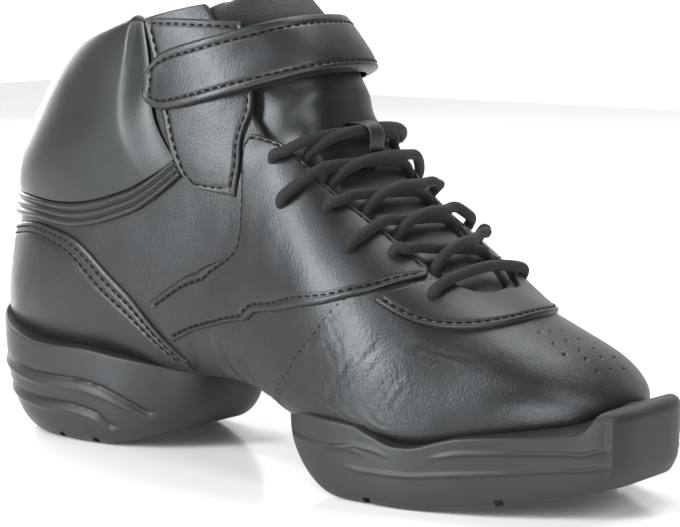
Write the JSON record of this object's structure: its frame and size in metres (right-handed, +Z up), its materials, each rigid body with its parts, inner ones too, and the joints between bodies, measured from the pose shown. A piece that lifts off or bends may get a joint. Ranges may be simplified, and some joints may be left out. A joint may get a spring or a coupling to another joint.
{
  "type": "dance sneaker",
  "caption": "High-top split-sole dance sneaker with a padded collar, ankle strap, crossed laces through a padded tongue, and moulded heel and forefoot pods",
  "frame": {"origin": "the point of the floor under the heel on which the heel pod rests, the mount heel_rest", "axes": "+X towards the toe, +Y towards the inner (left) side of this right shoe, +Z up from the floor"},
  "size_m": [0.2824, 0.099, 0.1713],
  "materials": {
    "upper_leather": "black smooth leather with a soft sheen",
    "trim_leather": "black smooth leather, slightly glossier overlays",
    "lining_cloth": "black brushed lining over padding",
    "sole_rubber": "dark grey matte moulded rubber",
    "lace_cord": "black round braided cord",
    "insole_board": "dark grey covered foot bed"
  },
  "bodies": {
    "root": {"ankle_flap_left": "trim_leather", "ankle_flap_right": "trim_leather", "ankle_strap": "trim_leather", "collar_band": "trim_leather", "collar_pad": "trim_leather", "forefoot_sole": "sole_rubber", "heel_counter": "trim_leather", "heel_sole": "sole_rubber", "insole": "insole_board", "lace_keeper": "trim_leather", "laces": "lace_cord", "quarter_left": "trim_leather", "quarter_right": "trim_leather", "throat_guard": "trim_leather", "tongue": "lining_cloth", "upper": "upper_leather"}
  },
  "joints": []
}
